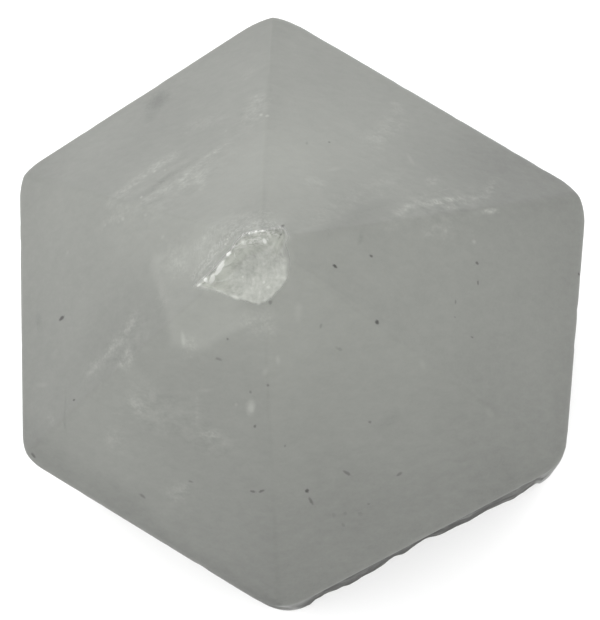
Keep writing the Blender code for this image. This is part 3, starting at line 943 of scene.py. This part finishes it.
def mark_surface(mesh, points):
    """Give the mesh its point attributes: marks, painted glints, painted light and painted shade.

    The marks' tables hold places from the middle of the solid, as the points do. The broken
    wall's painted shade sets in between its two given depths under the pyramid.
    """
    x, y, z = points.T
    upper = z > shoulder_floor(x, y)
    # Crushed grains and the scar's painted glints, drawn alike.
    blots = GRAINS + PAINTED_GLINTS
    for layer in range(LAYERS):
        store_vector(mesh, f"wisp_{layer}", wisp_places(WISPS[layer::LAYERS], x, y), upper)
        # The grain layers hold crushed grains and painted glints.
        store_vector(mesh, f"grain_{layer}", blot_places(blots[layer::LAYERS], x, y), upper)
        store_vector(mesh, f"speck_{layer}", blot_places(SPECKS[layer::LAYERS], x, y), upper)
    store_number(mesh, "bruise_and_glint", bruise_and_glint_strength(x, y) * upper)
    # Milk with painted light and shade.
    store_number(mesh, "milkiness_and_painted_light", milkiness_and_painted_light(x, y))
    store_number(mesh, "freshness", freshness(x + MIDDLE[0], y + MIDDLE[1]))
    store_number(mesh, "feather", feather_strength(x, y) * upper)
    # The broken wall's painted shade.
    depth = pyramid_height(x + MIDDLE[0], y + MIDDLE[1]) - z
    below = smooth_step(depth, *PAINTED_SHADE_FROM)
    below = below * (1.0 - upper * (z > SHOULDERS.max()))
    store_number(mesh, "painted_shade", broken_wall_painted_shade(x, y, z) * below)


def store_number(mesh, name, values):
    """Keep one number on each point."""
    kept = mesh.attributes.new(name, "FLOAT", "POINT")
    kept.data.foreach_set("value", values.astype(np.float32))


def shoulder_floor(x, y):
    """A height just under the pyramid's faces: points above it lie on them or in the scar."""
    return pyramid_height(x + MIDDLE[0], y + MIDDLE[1]) - UPPER_DEPTH


def store_vector(mesh, name, places, upper):
    """Keep the three measures of the nearest mark on each point, with none off the upper faces."""
    kept = mesh.attributes.new(name, "FLOAT_VECTOR", "POINT")
    kept.data.foreach_set("vector", (places * upper[:, None]).astype(np.float32).ravel())


# ---------------------------------------------------------------- shader helpers

# Noises in the quartz: scale per mm, detail, roughness and distortion.
CLOUD_NOISE = (0.13, 3.0, 0.6, 0.4)
THREAD_NOISE = (1.1, 3.0, 0.68, 0.2)
GRAIN_NOISE = (4.5, 2.0, 0.6)
THREAD_TURN = -36.0                 # degrees
THREAD_STRETCH = (0.75, 1.6, 0.8)
THREAD_MEAN = 0.46
FEATHER_STREAKS = 3.0               # how much stronger the threads are in a feathery stretch
# How many steps paler each of them makes the quartz for a unit of noise:
CLOUD_STEPS = 9.0
THREAD_STEPS = 7.0
SPECKLE_STEPS = 5.0

# How a wisp is drawn: sideways wander in half widths for a unit of noise, reach in half
# widths, and two smooth rises of a noise as from, to, low and high.
WISP_WANDER = 1.3
WISP_REACH = 1.5
WISP_THREADS = (0.34, 0.66, 0.40, 1.55)
WISP_GRAIN = (0.36, 0.64, 0.55, 1.45)
BLOT_RAGGED = 0.9                   # how far a noise moves a blot's rim, in half sizes
# Grains and the painted glints share these edges.
GRAIN_AND_GLINT_EDGE = {"Core": 0.1, "Rim": 1.25}      # where a grain starts to fade and ends, in half sizes
SPECK_EDGE = {"Core": 0.35, "Rim": 1.15}


def add(tree, kind, inputs=(), **settings):
    """A new shader node. Settings go by name; each input takes a socket, a value or None."""
    made = tree.nodes.new("ShaderNode" + kind)
    for name, value in settings.items():
        setattr(made, name, value)
    for socket, value in zip(made.inputs, inputs):
        join(tree, socket, value)
    return made


def join(tree, socket, value):
    """Link a socket to another node's output, or set its value; None leaves it as it is."""
    if isinstance(value, bpy.types.NodeSocket):
        tree.links.new(value, socket)
    elif value is not None:
        socket.default_value = value


def maths(tree, operation, *values):
    """The output of a Math node."""
    return add(tree, "Math", values, operation=operation).outputs[0]


def rise(tree, value, low, high, to_low=0.0, to_high=1.0):
    """A smooth rise from to_low at low to to_high at high, level beyond both."""
    ends = (value, low, high, to_low, to_high)
    return add(tree, "MapRange", ends, interpolation_type="SMOOTHSTEP").outputs[0]


def noise(tree, place, scale, detail=2.0, roughness=0.5, distortion=0.0):
    """The value of a noise texture, from 0 to 1 about 0.5."""
    made = add(tree, "TexNoise", noise_dimensions="3D")
    for name, value in (("Vector", place), ("Scale", scale), ("Detail", detail),
                        ("Roughness", roughness), ("Distortion", distortion)):
        join(tree, made.inputs[name], value)
    return made.outputs["Fac"]


def mix_colours(tree, share, first, second):
    """The first colour where share is 0, the second where it is 1."""
    made = add(tree, "Mix", data_type="RGBA")
    for number, value in ((0, share), (6, first), (7, second)):
        join(tree, made.inputs[number], value)
    return made.outputs[2]


def attribute(tree, name):
    """A point attribute of the mesh, as its Attribute node."""
    return add(tree, "Attribute", attribute_name=name)


def group(name, inputs, outputs):
    """A new node group with named sockets, its input node and its output node."""
    tree = bpy.data.node_groups.new(name, "ShaderNodeTree")
    for socket, kind, value in inputs:
        made = tree.interface.new_socket(socket, in_out="INPUT", socket_type="NodeSocket" + kind)
        if value is not None:
            made.default_value = value
    for socket, kind in outputs:
        tree.interface.new_socket(socket, in_out="OUTPUT", socket_type="NodeSocket" + kind)
    return tree, tree.nodes.new("NodeGroupInput"), tree.nodes.new("NodeGroupOutput")


def placed(tree, grouped, **values):
    """A node group placed in a material, its inputs set or linked by name (_ stands for a blank)."""
    made = tree.nodes.new("ShaderNodeGroup")
    made.node_tree = grouped
    for name, value in values.items():
        join(tree, made.inputs[name.replace("_", " ")], value)
    return made


# ---------------------------------------------------------------- effects shared by the finishes

def blot_group():
    """Blot: its strength inside a mark's own ellipse, falling to 0 at a ragged rim."""
    tree, given, result = group(
        "blot",
        (("Place", "Vector", None), ("Ragged", "Float", 0.0),
         ("Core", "Float", 0.5), ("Rim", "Float", 1.0)),
        (("Strength", "Float"),),
    )
    parts = add(tree, "SeparateXYZ", (given.outputs["Place"],))
    across = maths(tree, "POWER", parts.outputs[1], 2.0)
    squared = maths(tree, "MULTIPLY_ADD", parts.outputs[0], parts.outputs[0], across)
    distance = maths(tree, "SQRT", squared)
    ragged = maths(tree, "ADD", distance, given.outputs["Ragged"])
    inside = rise(tree, ragged, given.outputs["Core"], given.outputs["Rim"], 1.0, 0.0)
    join(tree, result.inputs["Strength"], maths(tree, "MULTIPLY", inside, parts.outputs[2]))
    return tree


def wisp_group():
    """Wisp: a smooth hump across the wisp, shifted and broken into threads by a noise."""
    tree, given, result = group(
        "wisp",
        (("Place", "Vector", None), ("Threads", "Float", 0.5)),
        (("Paleness", "Float"),),
    )
    parts = add(tree, "SeparateXYZ", (given.outputs["Place"],))
    wander = maths(tree, "SUBTRACT", given.outputs["Threads"], 0.5)
    shifted = maths(tree, "MULTIPLY_ADD", wander, WISP_WANDER, parts.outputs[0])
    bell = rise(tree, maths(tree, "ABSOLUTE", shifted), 0.0, WISP_REACH, 1.0, 0.0)
    threads = rise(tree, given.outputs["Threads"], *WISP_THREADS)
    body = maths(tree, "MULTIPLY", bell, threads)
    join(tree, result.inputs["Paleness"], maths(tree, "MULTIPLY", body, parts.outputs[2]))
    return tree


def marks_group(blot, wisp):
    """Marks: wisps, grains and painted glints as paleness in steps, and specks as darkness, 0 to 1.

    Ragged is a fine noise: it frays the rims of grains and specks and makes wisps grainy.
    """
    tree, given, result = group(
        "marks_in_quartz",
        (("Ragged", "Float", 0.5), ("Threads", "Float", 0.5)),
        (("Paleness", "Float"), ("Darkness", "Float")),
    )
    threads = given.outputs["Threads"]
    grainy = rise(tree, given.outputs["Ragged"], *WISP_GRAIN)
    ragged = maths(tree, "SUBTRACT", given.outputs["Ragged"], 0.5)
    ragged = maths(tree, "MULTIPLY", ragged, BLOT_RAGGED)
    paleness = 0.0
    darkness = 0.0
    for layer in range(LAYERS):
        wisp_place = attribute(tree, f"wisp_{layer}").outputs["Vector"]
        pale_wisp = placed(tree, wisp, Place=wisp_place, Threads=threads)
        # The grain layers hold crushed grains and painted glints.
        grain_and_glint_place = attribute(tree, f"grain_{layer}").outputs["Vector"]
        grain = placed(tree, blot, Place=grain_and_glint_place, Ragged=ragged, **GRAIN_AND_GLINT_EDGE)
        speck_place = attribute(tree, f"speck_{layer}").outputs["Vector"]
        speck = placed(tree, blot, Place=speck_place, Ragged=ragged, **SPECK_EDGE)
        both = maths(tree, "MULTIPLY_ADD", pale_wisp.outputs[0], grainy, grain.outputs[0])
        paleness = maths(tree, "ADD", both, paleness)
        darkness = maths(tree, "MAXIMUM", speck.outputs[0], darkness)
    join(tree, result.inputs["Paleness"], paleness)
    join(tree, result.inputs["Darkness"], darkness)
    return tree


def milk_and_painted_light_group():
    """Milk and painted light: paleness in steps, with the noises that the marks are drawn with.

    It sums the milk and painted light and shade kept on the points, wide clouds, and fine
    threads that slant from the front left to the back right and grow where the points are
    feathery. Grain is a fine noise.
    """
    tree, given, result = group(
        "milk_and_painted_light",
        (("Place", "Vector", None), ("Clouds", "Float", 1.0), ("Streaks", "Float", 1.0)),
        (("Paleness", "Float"), ("Threads", "Float"), ("Grain", "Float")),
    )
    place = given.outputs["Place"]
    wide = maths(tree, "SUBTRACT", noise(tree, place, *CLOUD_NOISE), 0.5)
    turned = add(tree, "Mapping", (place,))
    turned.inputs["Rotation"].default_value = (0.0, 0.0, math.radians(THREAD_TURN))
    turned.inputs["Scale"].default_value = THREAD_STRETCH
    thread = noise(tree, turned.outputs[0], *THREAD_NOISE)
    grain = noise(tree, place, *GRAIN_NOISE)
    feather = attribute(tree, "feather").outputs["Fac"]
    streaky = maths(tree, "MULTIPLY_ADD", feather, FEATHER_STREAKS, given.outputs["Streaks"])
    fine = maths(tree, "MULTIPLY", maths(tree, "SUBTRACT", thread, THREAD_MEAN), streaky)
    clouds = maths(tree, "MULTIPLY", wide, given.outputs["Clouds"])
    kept = attribute(tree, "milkiness_and_painted_light").outputs["Fac"]
    cloudy = maths(tree, "MULTIPLY_ADD", clouds, CLOUD_STEPS, kept)
    speckle = maths(tree, "SUBTRACT", grain, 0.5)
    speckle = maths(tree, "MULTIPLY_ADD", speckle, SPECKLE_STEPS, cloudy)
    join(tree, result.inputs["Paleness"], maths(tree, "MULTIPLY_ADD", fine, THREAD_STEPS, speckle))
    join(tree, result.inputs["Threads"], thread)
    join(tree, result.inputs["Grain"], grain)
    return tree


# ---------------------------------------------------------------- the finishes

BODY_COLOUR = (0.296, 0.305, 0.277, 1.0)
# White of crushed quartz, also painted for the glints where the scar's facets catch the light.
CRUSHED_AND_GLINT_WHITE = (0.98, 0.99, 0.95, 1.0)
SPECK_COLOUR = (0.035, 0.034, 0.030, 1.0)
# Painted shade: the dark colour of the broken wall, which faces away from the light.
PAINTED_SHADE_COLOUR = (0.042, 0.042, 0.038, 1.0)
ABSORBED_COLOUR = (0.62, 0.66, 0.60, 1.0)
ABSORPTION_PER_METRE = 18.0
QUARTZ_IOR = 1.544
SEE_THROUGH = 0.5
FACE_ROUGHNESS = 0.46
BREAK_ROUGHNESS = 0.26
SAWN_ROUGHNESS = 0.55
SHADED_WALL_ROUGHNESS = 0.85
MOST_PALE = 1.2               # the most that paleness lightens the body colour
# Past these steps the painted glints turn white as well.
CRUSHED_AND_GLINT_STEPS = (60.0, 125.0)           # between these steps the body turns to crushed white

# Where a bruise whitens the quartz, crushed and with painted glints: smooth rises of the
# bruise's strength and of the grain.
FACE_CRUSHING = ((0.2, 1.0), (0.45, 0.62))
BREAK_CRUSHING = ((0.1, 0.9), (0.40, 0.58))

# The scar's paleness over the faces', in steps, is this start plus its mottles: scale per mm,
# detail, roughness and distortion of a noise from 0 to 1, and the steps it is multiplied by.
BREAK_PALENESS = -8.0
BREAK_MOTTLES = ((0.9, 2.0, 0.6, 0.5, 48.0), (2.2, 1.0, 0.5, 0.8, 38.0))
BREAK_SPECKLE = 22.0          # steps for a unit of the fine grain

# Patches of the broken wall's painted shade:
PAINTED_SHADE_NOISE = (0.55, 3.0, 0.65)
PAINTED_SHADE_PATCHES = (1.8, 0.1)          # the noise is multiplied by one and raised by the other
SAW_TURN = 24.0               # degrees
SAW_STRETCH = (0.04, 3.0, 1.0)
FACE_BUMP = 0.008             # mm
BREAK_BUMP = 0.02
SAWN_BUMP = 0.02


def quartz_shader(name):
    """A new material with the constants that all of the crystal's finishes share."""
    material = bpy.data.materials.new(name)
    material.use_nodes = True
    tree = material.node_tree
    shader = tree.nodes["Principled BSDF"]
    shader.inputs["IOR"].default_value = QUARTZ_IOR
    shader.inputs["Metallic"].default_value = 0.0
    shader.inputs["Transmission Weight"].default_value = SEE_THROUGH
    absorption = add(tree, "VolumeAbsorption", (ABSORBED_COLOUR, ABSORPTION_PER_METRE))
    join(tree, tree.nodes["Material Output"].inputs["Volume"], absorption.outputs[0])
    coordinates = add(tree, "TexCoord")
    place = add(tree, "VectorMath", (coordinates.outputs["Object"],), operation="SCALE")
    place.inputs["Scale"].default_value = 1.0 / MM
    return material, tree, shader, place.outputs[0]


def body_group():
    """Body: colour made paler by steps, white where crushed and at painted glints, with dark specks."""
    tree, given, result = group(
        "quartz_body",
        (("Paleness", "Float", 0.0), ("Crushed", "Float", 0.0), ("Darkness", "Float", 0.0)),
        (("Colour", "Color"),),
    )
    paleness = given.outputs["Paleness"]
    lighter = maths(tree, "MINIMUM", maths(tree, "MULTIPLY", paleness, PALER_PER_STEP), MOST_PALE)
    scaled = add(tree, "VectorMath", (BODY_COLOUR[:3],), operation="SCALE")
    join(tree, scaled.inputs["Scale"], maths(tree, "ADD", lighter, 1.0))
    white = maths(tree, "MAXIMUM", rise(tree, paleness, *CRUSHED_AND_GLINT_STEPS), given.outputs["Crushed"])
    body = mix_colours(tree, white, scaled.outputs[0], CRUSHED_AND_GLINT_WHITE)
    body = mix_colours(tree, given.outputs["Darkness"], body, SPECK_COLOUR)
    join(tree, result.inputs["Colour"], body)
    return tree


def finish_bump(tree, shader, height, depth):
    """Tilt the shader's normal as if the height from 0 to 1 rose by depth, mm."""
    bump = add(tree, "Bump")
    bump.inputs["Strength"].default_value = 1.0
    bump.inputs["Distance"].default_value = depth * MM
    join(tree, bump.inputs["Height"], height)
    join(tree, shader.inputs["Normal"], bump.outputs[0])


def crushed_and_glint_share(tree, grain, crushing):
    """How white a bruise makes the quartz, from 0 to 1: its strength's rise times the grain's."""
    bruise_and_glint = attribute(tree, "bruise_and_glint").outputs["Fac"]
    strength, flecks = crushing
    return maths(tree, "MULTIPLY", rise(tree, bruise_and_glint, *strength), rise(tree, grain, *flecks))


def polished_quartz(effects):
    """The crystal's own faces: milky quartz, its marks, painted light, and one wall in painted shade."""
    material, tree, shader, place = quartz_shader("milky_quartz")
    milk_and_painted_light = placed(tree, effects["milk_and_painted_light"], Place=place, Clouds=1.0, Streaks=1.6)
    grain = milk_and_painted_light.outputs["Grain"]
    marks = placed(tree, effects["marks"], Ragged=grain, Threads=milk_and_painted_light.outputs["Threads"])
    # Crushed white, with painted glints along the scar's slash and arcs.
    crushed = crushed_and_glint_share(tree, grain, FACE_CRUSHING)
    paleness = maths(tree, "ADD", marks.outputs["Paleness"], milk_and_painted_light.outputs["Paleness"])
    body = placed(tree, effects["body"], Paleness=paleness, Crushed=crushed,
                  Darkness=marks.outputs["Darkness"])
    # Painted shade on the broken wall, in patches.
    shade_noise = noise(tree, place, *PAINTED_SHADE_NOISE)
    patchy = maths(tree, "MULTIPLY_ADD", shade_noise, *PAINTED_SHADE_PATCHES)
    painted_shade_share = maths(tree, "MULTIPLY", attribute(tree, "painted_shade").outputs["Fac"], patchy)
    join(tree, shader.inputs["Base Color"],
         mix_colours(tree, painted_shade_share, body.outputs["Colour"], PAINTED_SHADE_COLOUR))
    join(tree, shader.inputs["Roughness"],
         rise(tree, painted_shade_share, 0.0, 1.0, FACE_ROUGHNESS, SHADED_WALL_ROUGHNESS))
    finish_bump(tree, shader, grain, FACE_BUMP)
    return material


def fresh_break(effects):
    """The scar: paler, shell-like broken quartz, crushed white and painted glints where the blow fell."""
    material, tree, shader, place = quartz_shader("fresh_break")
    milk_and_painted_light = placed(tree, effects["milk_and_painted_light"], Place=place, Clouds=0.3, Streaks=1.2)
    grain = milk_and_painted_light.outputs["Grain"]
    marks = placed(tree, effects["marks"], Ragged=grain, Threads=milk_and_painted_light.outputs["Threads"])
    # Crushed white, with painted glints along the scar's slash and arcs.
    crushed = crushed_and_glint_share(tree, grain, BREAK_CRUSHING)
    mottle = BREAK_PALENESS
    for *kind, steps in BREAK_MOTTLES:
        mottle = maths(tree, "MULTIPLY_ADD", noise(tree, place, *kind), steps, mottle)
    mottle = maths(tree, "MULTIPLY_ADD", maths(tree, "SUBTRACT", grain, 0.5), BREAK_SPECKLE, mottle)
    mottle = maths(tree, "MULTIPLY", mottle, attribute(tree, "freshness").outputs["Fac"])
    paleness = maths(tree, "ADD", marks.outputs["Paleness"], milk_and_painted_light.outputs["Paleness"])
    paleness = maths(tree, "ADD", paleness, mottle)
    body = placed(tree, effects["body"], Paleness=paleness, Crushed=crushed,
                  Darkness=marks.outputs["Darkness"])
    join(tree, shader.inputs["Base Color"], body.outputs["Colour"])
    shader.inputs["Roughness"].default_value = BREAK_ROUGHNESS
    finish_bump(tree, shader, grain, BREAK_BUMP)
    return material


def sawn_foot(effects):
    """The cut foot: the same quartz, evenly ground matt with faint straight saw lines."""
    material, tree, shader, place = quartz_shader("sawn_foot")
    milk_and_painted_light = placed(tree, effects["milk_and_painted_light"], Place=place, Clouds=1.2, Streaks=0.3)
    lines = add(tree, "Mapping", (place,))
    lines.inputs["Rotation"].default_value = (0.0, 0.0, math.radians(SAW_TURN))
    lines.inputs["Scale"].default_value = SAW_STRETCH
    saw = noise(tree, lines.outputs[0], 1.0, 2.0, 0.5)
    body = placed(tree, effects["body"], Paleness=milk_and_painted_light.outputs["Paleness"],
                  Crushed=0.0, Darkness=0.0)
    join(tree, shader.inputs["Base Color"], body.outputs["Colour"])
    shader.inputs["Roughness"].default_value = SAWN_ROUGHNESS
    finish_bump(tree, shader, maths(tree, "ADD", milk_and_painted_light.outputs["Grain"], saw), SAWN_BUMP)
    return material


def build_crystal():
    """The finished crystal: one closed mesh with its three finishes, riding with the solid."""
    points, quads, triangles, finish = crystal_surface()
    mesh = bpy.data.meshes.new("quartz_point")
    mesh.from_pydata((points * MM).tolist(), [], quads.tolist() + triangles.tolist())
    blot = blot_group()
    effects = {"marks": marks_group(blot, wisp_group()), "milk_and_painted_light": milk_and_painted_light_group(), "body": body_group()}
    for material in (polished_quartz(effects), fresh_break(effects), sawn_foot(effects)):
        mesh.materials.append(material)
    mesh.polygons.foreach_set("material_index", finish.astype(np.int32))
    mark_surface(mesh, points)
    mesh.shade_smooth()
    mesh.set_sharp_from_angle(angle=math.radians(SHARP_ANGLE))
    mesh.update()
    crystal = bpy.data.objects.new("quartz_point", mesh)
    bpy.context.collection.objects.link(crystal)
    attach(crystal, "root")
    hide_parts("crystal")


# ---------------------------------------------------------------- floor, light and camera

FLOOR_HALF = 1.5
FLOOR_DROP = 0.05 * MM
FLOOR_COLOUR = (0.90, 0.90, 0.90, 1.0)
FLOOR_ROUGHNESS = 0.9
SKY_COLOUR = (1.0, 1.0, 1.0, 1.0)
SKY_STRENGTH = 1.70
LAMP_PLACE = (-0.108, 0.062, 0.240)
LAMP_AIM = (0.0, 0.0, 0.040)
LAMP_WIDTH = 0.16
LAMP_POWER = 0.04

CAMERA_PLACE = (7.609, -22.454, 167.629)     # mm
CAMERA_AIM = (-0.242, -0.290, 32.0)
CAMERA_LENS = 98.71                          # mm, on a sensor 36 mm wide
SENSOR_WIDTH = 36.0


def build_floor():
    """A wide, plain, pale floor just under the foot."""
    corners = [(-FLOOR_HALF, -FLOOR_HALF), (FLOOR_HALF, -FLOOR_HALF), (FLOOR_HALF, FLOOR_HALF),
               (-FLOOR_HALF, FLOOR_HALF)]
    mesh = bpy.data.meshes.new("pale_floor")
    mesh.from_pydata([(x, y, -FLOOR_DROP) for x, y in corners], [], [(0, 1, 2, 3)])
    material = bpy.data.materials.new("pale_floor")
    material.use_nodes = True
    shader = material.node_tree.nodes["Principled BSDF"]
    shader.inputs["Base Color"].default_value = FLOOR_COLOUR
    shader.inputs["Roughness"].default_value = FLOOR_ROUGHNESS
    mesh.materials.append(material)
    floor = bpy.data.objects.new("pale_floor", mesh)
    bpy.context.collection.objects.link(floor)


def aimed(place, aim, upward):
    """A matrix that stands at place and looks along -Z at aim, with +Y nearest to upward."""
    back = (Vector(place) - Vector(aim)).normalized()
    right = Vector(upward).cross(back).normalized()
    up = back.cross(right)
    turned = Matrix((right, up, back)).transposed().to_4x4()
    return Matrix.Translation(place) @ turned


def build_light():
    """An even pale sky and one wide soft lamp at the back left."""
    world = bpy.data.worlds.new("soft_sky")
    world.use_nodes = True
    sky = world.node_tree.nodes["Background"]
    sky.inputs["Color"].default_value = SKY_COLOUR
    sky.inputs["Strength"].default_value = SKY_STRENGTH
    bpy.context.scene.world = world
    lamp = bpy.data.lights.new("soft_lamp", "AREA")
    lamp.shape = "DISK"
    lamp.size = LAMP_WIDTH
    lamp.energy = LAMP_POWER
    holder = bpy.data.objects.new("soft_lamp", lamp)
    holder.matrix_world = aimed(LAMP_PLACE, LAMP_AIM, (0.0, 0.0, 1.0))
    bpy.context.collection.objects.link(holder)


def build_camera():
    """A camera almost straight above the tip, a little to the front right of it."""
    camera = bpy.data.cameras.new("camera")
    camera.lens = CAMERA_LENS
    camera.sensor_width = SENSOR_WIDTH
    camera.clip_start = 0.01
    holder = bpy.data.objects.new("camera", camera)
    place = Vector(CAMERA_PLACE) * MM
    aim = Vector(CAMERA_AIM) * MM
    holder.matrix_world = aimed(place, aim, (0.0, 1.0, 0.0))
    bpy.context.collection.objects.link(holder)
    bpy.context.scene.camera = holder


bpy.context.scene.view_settings.view_transform = "Standard"
build_camera()
build_floor()
build_light()
build_crystal()
